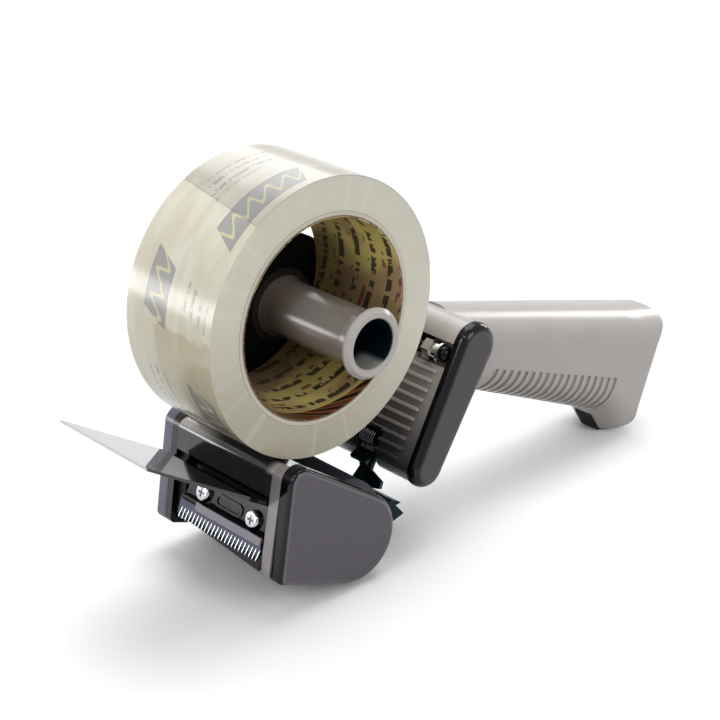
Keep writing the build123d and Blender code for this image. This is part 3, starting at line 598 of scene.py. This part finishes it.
# Middle of the tool, which every lamp faces
LAMP_AIM = Vector((0, 0, 0.08))


def lamp(name, place, width, height, power):
    """Soft rectangular lamp, in metres and watts, that faces the tool and is not seen itself."""
    data = bpy.data.lights.new(name, "AREA")
    data.shape = "RECTANGLE"
    data.energy = power
    data.size = width
    data.size_y = height
    light = bpy.data.objects.new(name, data)
    bpy.context.scene.collection.objects.link(light)
    light.location = place
    light.rotation_euler = (LAMP_AIM - Vector(place)).to_track_quat("-Z", "Y").to_euler()
    light.visible_camera = False


lamp("top_lamp", (0.25, 0.25, 1.2), 0.9, 0.9, 8.0)
lamp("left_lamp", (-1.0, -0.15, 0.75), 0.4, 0.4, 2.6)
lamp("front_lamp", (0.1, -1.2, 0.75), 0.6, 0.6, 4.6)
lamp("rear_lamp", (0.5, 0.9, 0.7), 0.6, 0.6, 2.5)
lamp("strip_lamp", (-0.62, -0.1, 0.95), 1.4, 0.07, 1.4)
lamp("far_card", (-0.75, 0.70, 0.11), 0.6, 0.2, 2.7)
lamp("handle_card", (1.3, 0.1, 0.5), 0.3, 0.55, 4.0)

# Floor: white to the camera and in reflections, grey in the light that it throws on the tool. Past
# the tool's shadow it fades into the white of the world, between these distances in metres.
FLOOR_HALF = 6.0
FADE_START = 0.22
FADE_END = 0.42
floor_mesh = bpy.data.meshes.new("floor")
floor_corners = [(x, y, 0) for x, y in ((-FLOOR_HALF, -FLOOR_HALF), (FLOOR_HALF, -FLOOR_HALF),
                                        (FLOOR_HALF, FLOOR_HALF), (-FLOOR_HALF, FLOOR_HALF))]
floor_mesh.from_pydata(floor_corners, [], [(0, 1, 2, 3)])
floor = bpy.data.objects.new("floor", floor_mesh)
bpy.context.scene.collection.objects.link(floor)
floor_look, floor_tree, floor_shader, _ = start("matt_white_paint", "#ffffff", 0.9, shine=0.0)
rays = add(floor_tree, "ShaderNodeLightPath").outputs
open_rays = add(floor_tree, "MAXIMUM", rays["Is Camera Ray"],
                add(floor_tree, "MAXIMUM", rays["Is Glossy Ray"], rays["Is Transmission Ray"]))
distance = add(floor_tree, "ShaderNodeVectorMath", add(floor_tree, "ShaderNodeTexCoord").outputs["Object"],
               operation="LENGTH").outputs["Value"]
far_off = add(floor_tree, "MULTIPLY", add(floor_tree, "FADE", distance, FADE_START, FADE_END), open_rays)
paint = add(floor_tree, "BLEND", open_rays, "#a8a8a8", "#ffffff")
paint = add(floor_tree, "BLEND", far_off, paint, "#000000")
floor_tree.links.new(paint.outputs["Result"], floor_shader.inputs["Base Color"])
floor_shader.inputs["Emission Color"].default_value = srgb("#ffffff")
floor_tree.links.new(far_off.outputs[0], floor_shader.inputs["Emission Strength"])
floor_mesh.materials.append(floor_look)

# World: white to the camera, dimmer where it lights the tool, and halfway between in reflections
REFLECTED_SHARE = 0.5
WORLD_LIGHT = 0.4
world = bpy.data.worlds.new("studio")
bpy.context.scene.world = world
world.use_nodes = True
sky = world.node_tree
background = sky.nodes["Background"]
background.inputs["Color"].default_value = srgb("#ffffff")
rays = add(sky, "ShaderNodeLightPath").outputs
mirrored = add(sky, "MULTIPLY", rays["Is Glossy Ray"], REFLECTED_SHARE)
seen = add(sky, "MAXIMUM", rays["Is Camera Ray"], mirrored)
strength = add(sky, "ShaderNodeMix", seen, WORLD_LIGHT, 1.0, data_type="FLOAT")
sky.links.new(strength.outputs["Result"], background.inputs["Strength"])
bpy.context.scene.view_settings.view_transform = "Standard"
